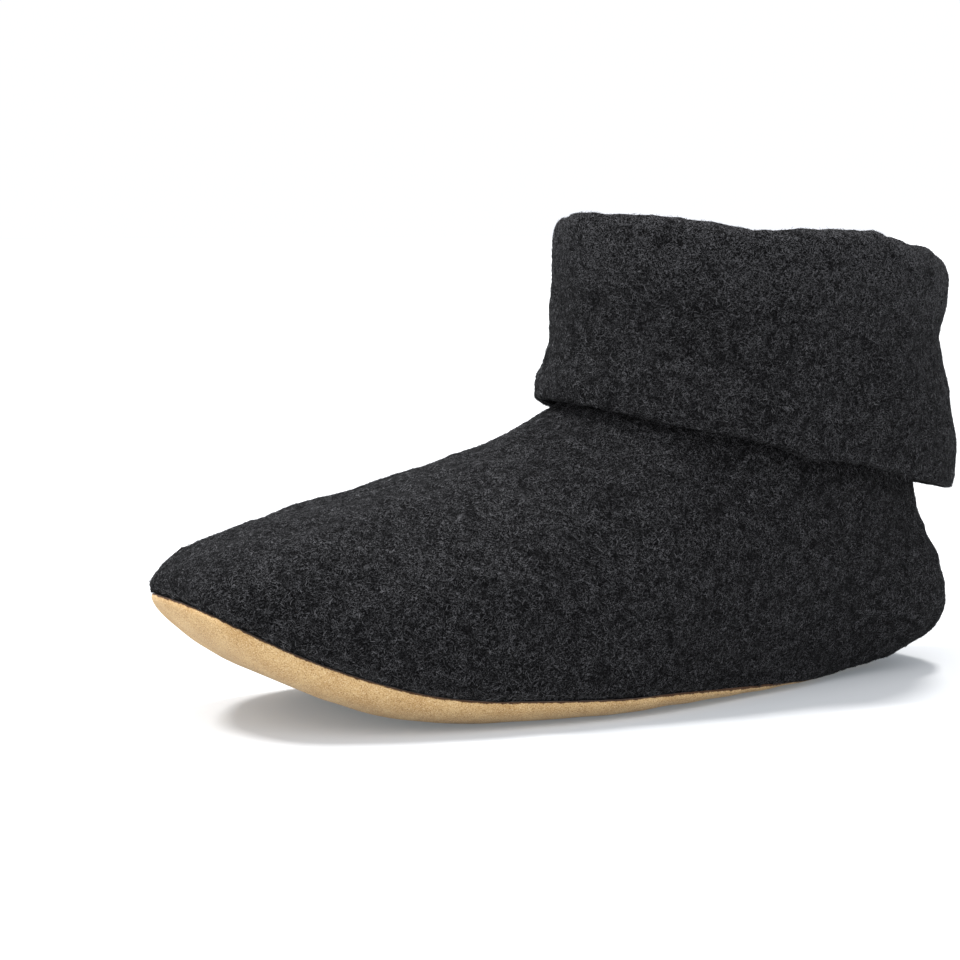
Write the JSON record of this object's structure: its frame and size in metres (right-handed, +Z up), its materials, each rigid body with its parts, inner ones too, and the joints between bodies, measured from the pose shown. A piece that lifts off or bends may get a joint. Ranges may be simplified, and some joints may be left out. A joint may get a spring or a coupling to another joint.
{
  "type": "fleece slipper",
  "caption": "Left ankle-high slipper in felted wool with a turned-down cuff, a soft suede sole with a rising toe, and a flat footbed inside.",
  "frame": {"origin": "on the floor below the middle of the ankle, on the sole's flat spot under the heel", "axes": "+X to the toe, +Y to the outer side of the foot, +Z up out of the collar"},
  "size_m": [0.2747, 0.0988, 0.1491],
  "materials": {
    "suede": "matt tan suede, fine speckled nap",
    "footbed": "matt charcoal fleece",
    "wool": "matt heathered charcoal boiled wool, short fuzz",
    "wool_cuff": "matt heathered charcoal boiled wool, short fuzz"
  },
  "bodies": {
    "root": {"outsole": "suede", "insole": "footbed", "upper": "wool", "cuff": "wool_cuff"}
  },
  "joints": []
}
